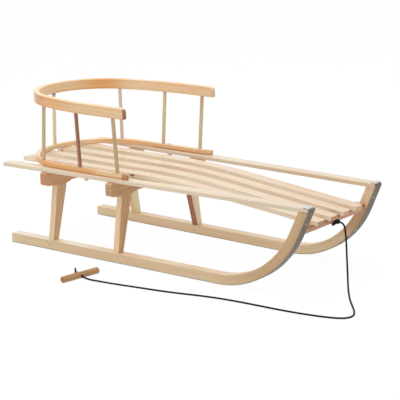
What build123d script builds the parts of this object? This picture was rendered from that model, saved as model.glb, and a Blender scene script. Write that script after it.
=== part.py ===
"""Wooden sled with a bolted-on spindle backrest and a pull rope.

Millimetres. +X is forward (towards the horns), +Y is the sled's left, +Z is up.
The origin is on the floor under the middle of the sled's length and width.
Stations are measured forward from the rear ends of the seat slats.
"""

from build123d import *
import os
from math import cos, pi, radians, sin, sqrt, tan

# Driving dimensions of the whole sled
sled_length = 905.0
rail_bottom = 200.5
plank_thickness = 10.0
overrun = 30.0

# Bent runners and their steel strips
runner_rear_station = 10.5
runner_thickness = 25.7
runner_height = 21.9
runner_bend_radius = 240.0
horn_slope_degrees = 66.1
runner_half_width_rear = 176.7
runner_toe_in_degrees = 1.12
runner_lean_degrees = 1.7
runner_edge_round = 1.6
strip_thickness = 1.5
strip_cap_length = 14.0
tip_fold_radius = 8.0

# Side rails
rail_rear_station = 5.0
rail_width = 30.0
rail_overhang_rear = 10.9
rail_toe_in_degrees = 2.26
rail_edge_round = 2.0

# Seat slats, flat over the beams and sloping down to the crossbar
slat_count = 4
slat_width = 31.2
slat_pitch_rear = 63.0
slat_pitch_front = 52.4
slat_front_setback = 13.0
slat_bend_station = 466.0
slat_slope_degrees = 6.0
slat_bend_radius = 1900.0
slat_end_round = 9.0
slat_edge_round = 1.6

# Cross beams
rear_beam_station = 142.5
front_beam_station = 353.0
beam_stations = {"rear": rear_beam_station, "front": front_beam_station}
beam_thickness = 19.0
beam_overhangs = {"rear": 6.0, "front": 10.0}
beam_depth = 33.5
beam_pad_depth = 37.5
beam_nose_depth = 33.0
beam_top_round = 7.0
beam_nose_round = 8.0
pad_margin = 4.0
pad_run_out = 14.0

# Legs, splayed and tapered, with a tenon at each end
leg_thickness = 17.0
leg_foot_width = 18.0
leg_top_width = 34.0
leg_foot_inset = 4.5
leg_outer_lean = 22.0
leg_top_tenon_width = 20.0
leg_top_tenon_length = 20.0
leg_foot_tenon_width = 10.0
leg_foot_tenon_length = 12.0

# Crossbar between the horns
crossbar_width = 26.0
crossbar_height = 16.5
crossbar_setback = 16.0
crossbar_edge_round = 1.5

# Backrest hoops
lower_hoop_height = 12.5
lower_hoop_thickness = 13.0
lower_hoop_inset_on_rail = 1.94
lower_hoop_nose_station = 6.6
lower_hoop_arm_station = 400.0
lower_hoop_end_bevel = 9.0
lower_hoop_end_bevel_length = 20.0
backrest_gap = 135.8
upper_hoop_height = 26.5
upper_hoop_thickness = 15.0
upper_hoop_flare = 11.5
upper_hoop_nose_station = 11.0
upper_hoop_nose_radius = 152.0
upper_hoop_nose_degrees = 73.0
upper_hoop_arm_station = 402.0
upper_hoop_end_round = 12.0
hoop_edge_round = 2.5

# Backrest spindles
spindle_diameter = 9.5
lower_socket_depth = 8.0
upper_socket_depth = 12.0

# Feet and heads of the spindle pairs from the front, as shares of the arms' stations
spindle_shares = [
    {"foot": 0.909, "head": 0.907},
    {"foot": 0.607, "head": 0.608},
    {"foot": 0.275, "head": 0.281},
]

# Bolts through the lower hoop and the rails
bolt_station = 262.5
bolt_diameter = 6.0
bolt_head_diameter = 10.0
bolt_head_height = 3.0
bolt_end_length = 3.0
washer_diameter = 12.0
washer_thickness = 1.5
nut_across_flats = 10.0
nut_height = 5.0

# Pull rope, its knots and its handle
rope_diameter = 4.5
bar_knot_diameter = 14.0
bar_knot_sink = 3.0
bar_knot_tail_length = 23.0
handle_diameter = 16.0
handle_length = 107.0
handle_edge_round = 2.5
handle_hole_diameter = 6.0
handle_station = 368.0
handle_y = -310.0
handle_turn_degrees = 81.0
handle_knot_diameter = 13.0
handle_knot_seat_diameter = 8.0
handle_knot_tail_length = 14.0

# Places along the sled and over the floor
rear_x = -sled_length / 2
front_x = sled_length / 2
seat_top = rail_bottom + plank_thickness
tip_top = seat_top + strip_thickness

# Places of the runners and rails
runner_top = strip_thickness + runner_height
runner_rear_x = rear_x + runner_rear_station
runner_toe = tan(radians(runner_toe_in_degrees))
runner_lean = tan(radians(runner_lean_degrees))
horn_angle = radians(horn_slope_degrees)
tip_corner_x = front_x - tip_fold_radius + tip_fold_radius / tan(horn_angle / 2)
bend_end_height = runner_bend_radius * (1 - cos(horn_angle))
bend_end_x = tip_corner_x - (tip_top - bend_end_height) / tan(horn_angle)
bend_start_x = bend_end_x - runner_bend_radius * sin(horn_angle)
rail_rear_x = rear_x + rail_rear_station
rail_half_width_rear = runner_half_width_rear + rail_overhang_rear
rail_toe = tan(radians(rail_toe_in_degrees))
bolt_x = rear_x + bolt_station

# Places of the slats and the crossbar
slat_slope = radians(slat_slope_degrees)
slat_front_x = front_x - slat_front_setback
slat_bend_x = rear_x + slat_bend_station
slat_front_top = seat_top - (slat_front_x - slat_bend_x) * tan(slat_slope)
slat_front_bottom_x = slat_front_x - plank_thickness * sin(slat_slope)
slat_front_bottom_z = slat_front_top - plank_thickness * cos(slat_slope)
bar_front_x = slat_front_bottom_x - crossbar_setback * cos(slat_slope)
bar_front_z = slat_front_bottom_z + crossbar_setback * sin(slat_slope)
bar_back_x = bar_front_x - crossbar_width * cos(slat_slope)
bar_back_z = bar_front_z + crossbar_width * sin(slat_slope)
bar_drop_x = crossbar_height * sin(slat_slope)
bar_drop_z = crossbar_height * cos(slat_slope)

# Heights and places of the beams and the backrest
pad_bottom = rail_bottom - beam_pad_depth
lower_bottom = seat_top
lower_top = lower_bottom + lower_hoop_height
rail_middle_at_bolt = rail_half_width_rear - rail_toe * (bolt_x - rail_rear_x) - rail_width / 2
lower_hoop_radius = rail_middle_at_bolt - lower_hoop_inset_on_rail
lower_nose_x = rear_x + lower_hoop_nose_station
lower_arm_x = rear_x + lower_hoop_arm_station
lower_bend_x = lower_nose_x + lower_hoop_radius
upper_bottom = lower_top + backrest_gap
upper_nose_x = rear_x + upper_hoop_nose_station
upper_arm_x = rear_x + upper_hoop_arm_station
upper_hoop_half_width = lower_hoop_radius + upper_hoop_flare

# The upper hoop's nose arc runs into a flank arc that ends parallel to the sled
nose_turn = radians(upper_hoop_nose_degrees)
nose_centre_x = upper_nose_x + upper_hoop_nose_radius
nose_end_x = nose_centre_x - upper_hoop_nose_radius * cos(nose_turn)
flank_radius = (upper_hoop_half_width - upper_hoop_nose_radius * sin(nose_turn)) / (1 - sin(nose_turn))
flank_centre_x = nose_end_x + flank_radius * cos(nose_turn)
flank_centre_y = upper_hoop_half_width - flank_radius


def runner_outer(x, z):
    """Half width to a runner's outer face."""
    return runner_half_width_rear - runner_toe * (x - runner_rear_x) - runner_lean * z


def rail_outer(x):
    """Half width to a side rail's outer edge."""
    return rail_half_width_rear - rail_toe * (x - rail_rear_x)


def front_line_x(z, inset):
    """X of the horn's straight front, set back square to it by an inset."""
    return tip_corner_x - (tip_top - z) / tan(horn_angle) - inset / sin(horn_angle)


def leg_places(beam):
    """A leg's mid X, and the half widths to its outer and inner edges at its foot and top."""
    x = rear_x + beam_stations[beam]
    foot_outer = runner_outer(x, runner_top) - leg_foot_inset
    foot_inner = foot_outer - leg_foot_width
    top_outer = foot_outer - leg_outer_lean
    top_inner = top_outer - leg_top_width
    return x, foot_outer, foot_inner, top_outer, top_inner


def leg_middles(beam):
    """A leg's mid X, and the half widths to the middles of its foot and top tenons."""
    x, foot_outer, foot_inner, top_outer, top_inner = leg_places(beam)
    return x, (foot_outer + foot_inner) / 2, (top_outer + top_inner) / 2


def lower_hoop_y(x):
    """Half width to the lower hoop's centreline."""
    if x >= lower_bend_x:
        return lower_hoop_radius
    return sqrt(lower_hoop_radius**2 - (lower_bend_x - x) ** 2)


def upper_hoop_y(x):
    """Half width to the upper hoop's centreline."""
    if x >= flank_centre_x:
        return upper_hoop_half_width
    if x >= nose_end_x:
        return flank_centre_y + sqrt(flank_radius**2 - (flank_centre_x - x) ** 2)
    return sqrt(upper_hoop_nose_radius**2 - (nose_centre_x - x) ** 2)


def save(builder, label):
    """Labels a finished piece and writes its STEP file."""
    builder.part.label = label
    export_step(builder.part, f"parts/{label}.step")


def save_pair(builder, name):
    """Writes a right-hand piece and its mirror image on the left."""
    save(builder, f"{name}_right")
    with BuildPart() as left:
        add(builder.part)
        mirror(about=Plane.XZ, mode=Mode.REPLACE)
    save(left, f"{name}_left")


os.makedirs("parts", exist_ok=True)

# The right runner's outer face leans in towards the top and toes in towards the front
face_x_dir = Vector(1, runner_toe, 0)
face_up = Vector(0, runner_lean, 1)
runner_face = Plane(
    origin=(runner_rear_x, -runner_half_width_rear, 0),
    x_dir=face_x_dir,
    z_dir=face_x_dir.cross(face_up),
)
across = Vector(0, 1, 0)

# Runners, bent up into the horns, with mortises for the legs
with BuildPart() as runner:
    with BuildSketch(Plane.XZ):
        with BuildLine():
            sole = Line((runner_rear_x, strip_thickness), (bend_start_x, strip_thickness))
            outer_radius = runner_bend_radius - strip_thickness
            outer_bend = JernArc(sole @ 1, (1, 0), outer_radius, horn_slope_degrees)
            front = Line(outer_bend @ 1, (front_line_x(rail_bottom, strip_thickness), rail_bottom))
            inner_radius = outer_radius - runner_height
            inner_sole = Line((runner_rear_x, runner_top), (bend_start_x, runner_top))
            inner_bend = JernArc(inner_sole @ 1, (1, 0), inner_radius, horn_slope_degrees)
            horn_back_x = front_line_x(rail_bottom, strip_thickness + runner_height)
            back = Line(inner_bend @ 1, (horn_back_x, rail_bottom))
            Line(front @ 1, back @ 1)
            Line(sole @ 0, inner_sole @ 0)
        make_face()
    extrude(amount=runner_half_width_rear, both=True)
    with BuildSketch(runner_face):
        with Locations((sled_length / 2, rail_bottom / 2)):
            Rectangle(sled_length + overrun, rail_bottom + overrun)
    extrude(amount=runner_thickness, dir=across, mode=Mode.INTERSECT)
    inner_edges = edges().filter_by_position(Axis.Z, runner_top, runner_top)
    fillet(inner_edges.sort_by(SortBy.LENGTH)[-2:], radius=runner_edge_round)
    for beam in beam_stations:
        x, foot_middle, top_middle = leg_middles(beam)
        with BuildSketch(Plane.XY.offset(runner_top)):
            with Locations((x, -foot_middle)):
                Rectangle(leg_thickness, leg_foot_tenon_width)
        extrude(amount=-leg_foot_tenon_length, mode=Mode.SUBTRACT)
save_pair(runner, "runner")

# Steel strips, from the rear of the sole over the horn tip and back onto the rail
with BuildPart() as strip:
    with BuildSketch(Plane.XZ):
        with BuildLine():
            outer_sole = Line((runner_rear_x, 0), (bend_start_x, 0))
            outer_bend = JernArc(outer_sole @ 1, (1, 0), runner_bend_radius, horn_slope_degrees)
            outer_front = Line(outer_bend @ 1, (front_line_x(tip_top, 0), tip_top))
            inner_sole = Line((runner_rear_x, strip_thickness), (bend_start_x, strip_thickness))
            inner_bend = JernArc(inner_sole @ 1, (1, 0), outer_radius, horn_slope_degrees)
            inner_front = Line(inner_bend @ 1, (front_line_x(seat_top, strip_thickness), seat_top))
            cap_x = front_x - strip_cap_length
            Polyline(outer_front @ 1, (cap_x, tip_top), (cap_x, seat_top), inner_front @ 1)
            Line(outer_sole @ 0, inner_sole @ 0)
        make_face()
        fillet(vertices().sort_by(Axis.X)[-1], radius=tip_fold_radius)
        fillet(vertices().sort_by(Axis.X)[-1], radius=tip_fold_radius - strip_thickness)
    extrude(amount=runner_half_width_rear, both=True)
    with BuildSketch(runner_face):
        with Locations((sled_length / 2, rail_bottom / 2)):
            Rectangle(sled_length + overrun, rail_bottom + overrun)
    extrude(amount=runner_thickness, dir=across, mode=Mode.INTERSECT)
save_pair(strip, "runner_strip")

# Side rails, cut off in line with the horns
with BuildPart() as rail:
    with BuildSketch(Plane.XY.offset(rail_bottom)):
        with BuildLine():
            Polyline(
                (rail_rear_x, -rail_outer(rail_rear_x)),
                (tip_corner_x, -rail_outer(tip_corner_x)),
                (tip_corner_x, rail_width - rail_outer(tip_corner_x)),
                (rail_rear_x, rail_width - rail_outer(rail_rear_x)),
                close=True,
            )
        make_face()
    extrude(amount=plank_thickness)
    fillet(edges().sort_by(SortBy.LENGTH)[-4:], radius=rail_edge_round)
    with BuildSketch(Plane.XZ):
        with BuildLine():
            Polyline(
                (rail_rear_x, rail_bottom),
                (front_line_x(rail_bottom, strip_thickness), rail_bottom),
                (front_line_x(seat_top, strip_thickness), seat_top),
                (rail_rear_x, seat_top),
                close=True,
            )
        make_face()
        fillet(vertices().sort_by(Axis.X)[-1], radius=tip_fold_radius - strip_thickness)
    extrude(amount=rail_half_width_rear + overrun, both=True, mode=Mode.INTERSECT)
    with BuildSketch(Plane.XY.offset(rail_bottom)):
        with Locations((bolt_x, -lower_hoop_radius)):
            Circle(bolt_diameter / 2)
    extrude(amount=plank_thickness, mode=Mode.SUBTRACT)
save_pair(rail, "side_rail")

# Seat slats, numbered from the right
for number in range(slat_count):
    place = number - (slat_count - 1) / 2
    with BuildPart() as slat:
        with BuildSketch(Plane.XZ):
            with BuildLine():
                top = FilletPolyline(
                    (rear_x, seat_top),
                    (slat_bend_x, seat_top),
                    (slat_front_x, slat_front_top),
                    radius=slat_bend_radius,
                )
                bottom = FilletPolyline(
                    (rear_x, rail_bottom),
                    (slat_bend_x - plank_thickness * tan(slat_slope / 2), rail_bottom),
                    (slat_front_bottom_x, slat_front_bottom_z),
                    radius=slat_bend_radius - plank_thickness,
                )
                Line(top @ 0, bottom @ 0)
                Line(top @ 1, bottom @ 1)
            make_face()
        extrude(amount=runner_half_width_rear, both=True)
        with BuildSketch(Plane.XY):
            with BuildLine():
                Polyline(
                    (rear_x, place * slat_pitch_rear - slat_width / 2),
                    (slat_front_x, place * slat_pitch_front - slat_width / 2),
                    (slat_front_x, place * slat_pitch_front + slat_width / 2),
                    (rear_x, place * slat_pitch_rear + slat_width / 2),
                    close=True,
                )
            make_face()
            fillet(vertices().group_by(Axis.X)[-1], radius=slat_end_round)
        extrude(amount=seat_top + overrun, mode=Mode.INTERSECT)
        top_edges = edges().filter_by_position(Axis.Z, seat_top, seat_top)
        fillet(top_edges.sort_by(SortBy.LENGTH)[-2:], radius=slat_edge_round)
    save(slat, f"seat_slat_{number + 1}")

# Crossbar, tilted to seat the slats, between the inner faces of the horns
with BuildPart() as crossbar:
    with BuildSketch(Plane.XZ):
        with BuildLine():
            Polyline(
                (bar_front_x, bar_front_z),
                (bar_front_x - bar_drop_x, bar_front_z - bar_drop_z),
                (bar_back_x - bar_drop_x, bar_back_z - bar_drop_z),
                (bar_back_x, bar_back_z),
                close=True,
            )
        make_face()
        fillet(vertices(), radius=crossbar_edge_round)
    extrude(amount=runner_outer(bar_back_x, bar_back_z) - runner_thickness / 2)
    with BuildSketch(runner_face):
        with Locations((sled_length / 2, rail_bottom / 2)):
            Rectangle(sled_length + overrun, rail_bottom + overrun)
    extrude(amount=runner_thickness, dir=across, mode=Mode.SUBTRACT)
    mirror(about=Plane.XZ)
save(crossbar, "front_crossbar")

# Cross beams with rounded ends, pads over the legs and a slight arch between
for beam in beam_stations:
    x, foot_outer, foot_inner, top_outer, top_inner = leg_places(beam)
    x, foot_middle, top_middle = leg_middles(beam)
    half_length = rail_outer(x) + beam_overhangs[beam]
    with BuildPart() as cross_beam:
        with BuildSketch(Plane.YZ.offset(x - beam_thickness / 2)):
            with BuildLine():
                Polyline(
                    (0, rail_bottom),
                    (half_length, rail_bottom),
                    (half_length, rail_bottom - beam_nose_depth),
                    (top_outer + pad_margin, pad_bottom),
                    (top_inner - pad_margin, pad_bottom),
                    (top_inner - pad_margin - pad_run_out, rail_bottom - beam_depth),
                    (0, rail_bottom - beam_depth),
                    close=True,
                )
            make_face()
            fillet(vertices().group_by(Axis.X)[-1].sort_by(Axis.Y)[0], radius=beam_nose_round)
            fillet(vertices().group_by(Axis.X)[-1].sort_by(Axis.Y)[-1], radius=beam_top_round)
            mirror(about=Plane.YZ)
        extrude(amount=beam_thickness)
        with BuildSketch(Plane.XY.offset(pad_bottom)):
            with Locations((x, top_middle), (x, -top_middle)):
                Rectangle(leg_thickness, leg_top_tenon_width)
        extrude(amount=leg_top_tenon_length, mode=Mode.SUBTRACT)
    save(cross_beam, f"cross_beam_{beam}")

# Legs, standing in the runners and tenoned up into the beams
for beam in beam_stations:
    x, foot_outer, foot_inner, top_outer, top_inner = leg_places(beam)
    x, foot_middle, top_middle = leg_middles(beam)
    with BuildPart() as leg:
        with BuildSketch(Plane.YZ.offset(x - leg_thickness / 2)):
            with BuildLine():
                Polyline(
                    (-foot_outer, runner_top),
                    (-top_outer, pad_bottom),
                    (-top_inner, pad_bottom),
                    (-foot_inner, runner_top),
                    close=True,
                )
            make_face()
            with Locations((-foot_middle, runner_top - leg_foot_tenon_length / 2)):
                Rectangle(leg_foot_tenon_width, leg_foot_tenon_length)
            with Locations((-top_middle, pad_bottom + leg_top_tenon_length / 2)):
                Rectangle(leg_top_tenon_width, leg_top_tenon_length)
        extrude(amount=leg_thickness)
    save_pair(leg, f"leg_{beam}")


def spindle_ends(pair, side):
    """Points where a spindle's axis leaves the lower hoop and enters the upper one."""
    foot_x = rear_x + pair["foot"] * lower_hoop_arm_station
    head_x = rear_x + pair["head"] * upper_hoop_arm_station
    foot = Vector(foot_x, side * lower_hoop_y(foot_x), lower_top)
    head = Vector(head_x, side * upper_hoop_y(head_x), upper_bottom)
    return foot, head


# Spindles from the right arm's front round the nose to the left arm's front
spindles = [spindle_ends(pair, -1) for pair in spindle_shares]
spindles.append((Vector(lower_nose_x, 0, lower_top), Vector(upper_nose_x, 0, upper_bottom)))
spindles += [spindle_ends(pair, 1) for pair in reversed(spindle_shares)]

# Lower hoop, a half circle whose arms lie on the rails, bored for spindles and bolts
with BuildPart() as lower_hoop:
    with BuildSketch(Plane.XY.offset(lower_bottom)):
        with BuildLine():
            bend = JernArc((lower_nose_x, 0), (0, 1), lower_hoop_radius, -90)
            Line(bend @ 1, (lower_arm_x, lower_hoop_radius))
        trace(line_width=lower_hoop_thickness)
        inner_y = lower_hoop_radius - lower_hoop_thickness / 2
        with BuildLine():
            Polyline(
                (lower_arm_x - lower_hoop_end_bevel_length, inner_y),
                (lower_arm_x, inner_y),
                (lower_arm_x, inner_y + lower_hoop_end_bevel),
                close=True,
            )
        make_face(mode=Mode.SUBTRACT)
        mirror(about=Plane.XZ)
    extrude(amount=lower_hoop_height)
    fillet(faces().filter_by(Axis.Z).edges().filter_by(Axis.X), radius=hoop_edge_round)
    for foot, head in spindles:
        axis = (head - foot).normalized()
        with BuildSketch(Plane(origin=foot - axis * lower_socket_depth, z_dir=axis)):
            Circle(spindle_diameter / 2)
        extrude(amount=lower_socket_depth + overrun, mode=Mode.SUBTRACT)
    with BuildSketch(Plane.XY.offset(lower_bottom)):
        with Locations((bolt_x, lower_hoop_radius), (bolt_x, -lower_hoop_radius)):
            Circle(bolt_diameter / 2)
    extrude(amount=lower_hoop_height, mode=Mode.SUBTRACT)
save(lower_hoop, "backrest_lower_hoop")

# Upper hoop, a deeper board bent round a rounder nose, bored from below for the spindles
with BuildPart() as upper_hoop:
    with BuildSketch(Plane.XY.offset(upper_bottom)):
        with BuildLine():
            nose = JernArc((upper_nose_x, 0), (0, 1), upper_hoop_nose_radius, -upper_hoop_nose_degrees)
            flank = JernArc(nose @ 1, nose % 1, flank_radius, upper_hoop_nose_degrees - 90)
            Line(flank @ 1, (upper_arm_x, upper_hoop_half_width))
        trace(line_width=upper_hoop_thickness)
        mirror(about=Plane.XZ)
    extrude(amount=upper_hoop_height)
    arm_ends = edges().filter_by(Axis.Y).group_by(Axis.X)[-1]
    fillet(arm_ends.group_by(Axis.Z)[-1], radius=upper_hoop_end_round)
    fillet(faces().filter_by(Axis.Z).edges().filter_by(Axis.X), radius=hoop_edge_round)
    for foot, head in spindles:
        axis = (foot - head).normalized()
        with BuildSketch(Plane(origin=head - axis * upper_socket_depth, z_dir=axis)):
            Circle(spindle_diameter / 2)
        extrude(amount=upper_socket_depth + overrun, mode=Mode.SUBTRACT)
save(upper_hoop, "backrest_upper_hoop")

# Spindles, driven into both hoops
for number, (foot, head) in enumerate(spindles):
    span = head - foot
    axis = span.normalized()
    with BuildPart() as spindle:
        with BuildSketch(Plane(origin=foot - axis * lower_socket_depth, z_dir=axis)):
            Circle(spindle_diameter / 2)
        extrude(amount=span.length + lower_socket_depth + upper_socket_depth)
    save(spindle, f"backrest_spindle_{number + 1}")

# Bolts with mushroom heads
bolt_head_radius = bolt_head_diameter / 2
bolt_dome_radius = (bolt_head_radius**2 + bolt_head_height**2) / (2 * bolt_head_height)
bolt_end_z = rail_bottom - washer_thickness - nut_height - bolt_end_length
with BuildPart() as bolt:
    with BuildSketch(Plane.XZ.offset(lower_hoop_radius)):
        with BuildLine():
            shank = Polyline(
                (bolt_x, lower_top + bolt_head_height),
                (bolt_x, bolt_end_z),
                (bolt_x + bolt_diameter / 2, bolt_end_z),
                (bolt_x + bolt_diameter / 2, lower_top),
                (bolt_x + bolt_head_radius, lower_top),
            )
            RadiusArc(shank @ 0, shank @ 1, bolt_dome_radius)
        make_face()
    revolve(axis=Axis((bolt_x, -lower_hoop_radius, 0), (0, 0, 1)))
save_pair(bolt, "backrest_bolt")

# Washers and nuts below the rails
with BuildPart() as nut:
    with BuildSketch(Plane.XY.offset(rail_bottom)):
        with Locations((bolt_x, -lower_hoop_radius)):
            Circle(washer_diameter / 2)
            Circle(bolt_diameter / 2, mode=Mode.SUBTRACT)
    extrude(amount=-washer_thickness)
    with BuildSketch(Plane.XY.offset(rail_bottom - washer_thickness)):
        with Locations((bolt_x, -lower_hoop_radius)):
            RegularPolygon(nut_across_flats / 2, 6, major_radius=False)
            Circle(bolt_diameter / 2, mode=Mode.SUBTRACT)
    extrude(amount=-nut_height)
save_pair(nut, "backrest_nut")

# Pull handle, a short dowel bored across its middle, lying on the floor
handle_turn = radians(handle_turn_degrees)
handle_axis = Vector(cos(handle_turn), sin(handle_turn), 0)
bore_axis = Vector(-sin(handle_turn), cos(handle_turn), 0)
handle_centre = Vector(rear_x + handle_station, handle_y, handle_diameter / 2)
with BuildPart() as handle:
    with BuildSketch(Plane(origin=handle_centre - handle_axis * handle_length / 2, z_dir=handle_axis)):
        Circle(handle_diameter / 2)
    extrude(amount=handle_length)
    fillet(edges().filter_by(GeomType.CIRCLE), radius=handle_edge_round)
    with BuildSketch(Plane(origin=handle_centre, z_dir=bore_axis)):
        Circle(handle_hole_diameter / 2)
    extrude(amount=handle_diameter, both=True, mode=Mode.SUBTRACT)
save(handle, "pull_handle")

# Knot behind the handle, seated flat against it, with its tail standing up
upright = Vector(0, 0, 1)
knot_seat_radius = handle_knot_seat_diameter / 2
knot_seat_depth = sqrt((handle_knot_diameter / 2) ** 2 - knot_seat_radius**2)
knot_seat = handle_centre + bore_axis * handle_diameter / 2
with BuildPart() as handle_knot:
    with BuildSketch(Plane(origin=knot_seat, x_dir=bore_axis, z_dir=bore_axis.cross(upright))):
        with BuildLine():
            seat_line = Line((0, 0), (0, knot_seat_radius))
            ball_line = ThreePointArc(
                seat_line @ 1,
                (knot_seat_depth, handle_knot_diameter / 2),
                (knot_seat_depth + handle_knot_diameter / 2, 0),
            )
            Line(ball_line @ 1, seat_line @ 0)
        make_face()
    revolve(axis=Axis(knot_seat, bore_axis))
    tail_root = knot_seat + bore_axis * knot_seat_depth
    with BuildSketch(Plane(origin=tail_root, z_dir=(bore_axis + upright).normalized())):
        Circle(rope_diameter / 2)
    extrude(amount=handle_knot_diameter / 2 + handle_knot_tail_length)
save(handle_knot, "rope_knot_handle")

# Loop round the crossbar between the two middle slats, with its knot in front and a tail
bar_middle_x = (bar_front_x + bar_back_x - bar_drop_x) / 2
bar_middle_z = (bar_front_z + bar_back_z - bar_drop_z) / 2
knot_offset = rope_diameter - bar_knot_sink + bar_knot_diameter / 2
bar_knot_x = bar_front_x - bar_drop_x / 2 + knot_offset * cos(slat_slope)
bar_knot_z = bar_front_z - bar_drop_z / 2 - knot_offset * sin(slat_slope)
with BuildPart() as bar_knot:
    with BuildSketch(Plane.XZ):
        with Locations((bar_middle_x, bar_middle_z)):
            RectangleRounded(
                crossbar_width + 2 * rope_diameter,
                crossbar_height + 2 * rope_diameter,
                rope_diameter,
                rotation=-slat_slope_degrees,
            )
            Rectangle(
                crossbar_width,
                crossbar_height,
                rotation=-slat_slope_degrees,
                mode=Mode.SUBTRACT,
            )
    extrude(amount=rope_diameter / 2, both=True)
    bar_knot_centre = Vector(bar_knot_x, 0, bar_knot_z)
    tail_root_y = sqrt(bar_knot_diameter**2 - rope_diameter**2) / 2
    with BuildSketch(Plane(origin=bar_knot_centre, x_dir=-across, z_dir=(1, 0, 0))):
        with BuildLine():
            ball_line = ThreePointArc(
                (-bar_knot_diameter / 2, 0),
                (0, bar_knot_diameter / 2),
                (tail_root_y, rope_diameter / 2),
            )
            Polyline(
                ball_line @ 1,
                (bar_knot_diameter / 2 + bar_knot_tail_length, rope_diameter / 2),
                (bar_knot_diameter / 2 + bar_knot_tail_length, 0),
                ball_line @ 0,
            )
        make_face()
    revolve(axis=Axis(bar_knot_centre, -across))
save(bar_knot, "rope_knot_bar")

# Pull rope: from the knot down to the floor, forward round a loose bend and back to the handle
floor_z = rope_diameter / 2
handle_approach = handle_centre - bore_axis * (handle_diameter + rope_diameter)
rope_end = handle_centre + bore_axis * handle_diameter / 2
rope_points = [
    (bar_knot_x, 0, bar_knot_z),
    (447, 3, 137),
    (455, 2, 116),
    (456, 1, 88),
    (456, 0, 54),
    (457, -2, 22),
    (465, -14, floor_z),
    (493, -53, floor_z),
    (528, -102, floor_z),
    (558, -138, floor_z),
    (579, -165, floor_z),
    (589, -186, floor_z),
    (585, -205, floor_z),
    (566, -218, floor_z),
    (530, -228, floor_z),
    (483, -236, floor_z),
    (431, -241, floor_z),
    (379, -243, floor_z),
    (328, -246, floor_z),
    (280, -251, floor_z),
    (233, -260, floor_z),
    (186, -273, floor_z),
    (136, -284, floor_z),
    (85, -292, floor_z),
    (42, -299, floor_z),
    (6, -305, floor_z),
    (-28, -309, floor_z),
    (handle_approach.X, handle_approach.Y, handle_approach.Z),
    (rope_end.X, rope_end.Y, rope_end.Z),
]
corners = [Vector(*point) for point in rope_points]
runs = [end - start for start, end in zip(corners, corners[1:])]

# Each bend is as wide as the shorter of its two runs allows
bend_share = 0.45
rope_radii = []
for before, after in zip(runs, runs[1:]):
    half_turn = radians(before.get_angle(after)) / 2
    rope_radii.append(bend_share * min(before.length, after.length) / tan(half_turn))
with BuildPart() as rope:
    with BuildLine() as route:
        FilletPolyline(*rope_points, radius=rope_radii)
    with BuildSketch(Plane(origin=route.wire() @ 0, z_dir=route.wire() % 0)):
        Circle(rope_diameter / 2)
    sweep()
save(rope, "pull_rope")

# The tube holds its section along the whole route
rope_length = route.wire().length
plain_volume = pi * rope_diameter**2 / 4 * rope_length
print("rope bend radii", [round(radius, 1) for radius in rope_radii])
print("rope runs", [round(run.length, 1) for run in runs])
print("rope length", round(rope_length, 1), "volume share", round(rope.part.volume / plain_volume, 4))
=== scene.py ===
"""Looks of a wooden sled with a spindle backrest and a pull rope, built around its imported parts.

Metres. +X is forward (towards the horns), +Y is the sled's left, +Z is up, and the floor is at Z = 0.
"""

from math import ceil, cos, pi, radians, sin, tan

import bpy
import numpy as np
from mathutils import Matrix, Vector


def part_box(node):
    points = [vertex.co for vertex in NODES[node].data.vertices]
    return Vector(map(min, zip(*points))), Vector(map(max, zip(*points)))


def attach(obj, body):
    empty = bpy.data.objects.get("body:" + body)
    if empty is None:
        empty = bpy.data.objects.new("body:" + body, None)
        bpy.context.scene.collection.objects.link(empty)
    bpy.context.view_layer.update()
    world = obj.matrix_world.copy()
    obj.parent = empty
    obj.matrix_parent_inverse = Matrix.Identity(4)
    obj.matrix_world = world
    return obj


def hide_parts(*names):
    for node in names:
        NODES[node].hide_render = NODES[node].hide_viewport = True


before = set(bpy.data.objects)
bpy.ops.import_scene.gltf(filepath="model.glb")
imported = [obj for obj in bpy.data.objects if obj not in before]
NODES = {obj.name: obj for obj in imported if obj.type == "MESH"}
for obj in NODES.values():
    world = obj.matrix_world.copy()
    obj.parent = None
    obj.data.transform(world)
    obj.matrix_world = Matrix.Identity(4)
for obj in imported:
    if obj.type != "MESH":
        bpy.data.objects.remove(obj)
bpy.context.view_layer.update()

# Camera, as it stood for the photograph
CAMERA_AZIMUTH = radians(38.167)
CAMERA_ELEVATION = radians(14.339)
CAMERA_ROLL = radians(-1.182)
CAMERA_DISTANCE = 3.524
CAMERA_AIM = Vector((0.0336, 0.0, 0.1396))
LENS_MM = 130.26
SENSOR_MM = 36.0

# Bends of the runners and steel strips, of the slats and of the hoops
RUNNER_BEND_RADIUS = 0.240
HORN_SLOPE = radians(66.1)
TIP_FOLD_RADIUS = 0.008
SLAT_BEND_RADIUS = 1.9
SLAT_BEND_MIDDLE = 0.466
SLAT_SLOPE = radians(6.0)
SLAT_PITCH_REAR = 0.063
SLAT_PITCH_FRONT = 0.0524
BAR_HALF_WIDTH = 0.013
BAR_HALF_HEIGHT = 0.00825
LOWER_HOOP_RADIUS = 0.1605
LOWER_HOOP_THICKNESS = 0.013
UPPER_NOSE_RADIUS = 0.152
UPPER_NOSE_TURN = radians(73.0)
UPPER_HOOP_THICKNESS = 0.015

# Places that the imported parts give
REAR_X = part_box("seat_slat_1")[0].x
SEAT_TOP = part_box("side_rail_right")[1].z
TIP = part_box("runner_strip_right")[1]
LOWER_HOOP_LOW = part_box("backrest_lower_hoop")[0]
UPPER_HOOP_LOW, UPPER_HOOP_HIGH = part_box("backrest_upper_hoop")

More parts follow.
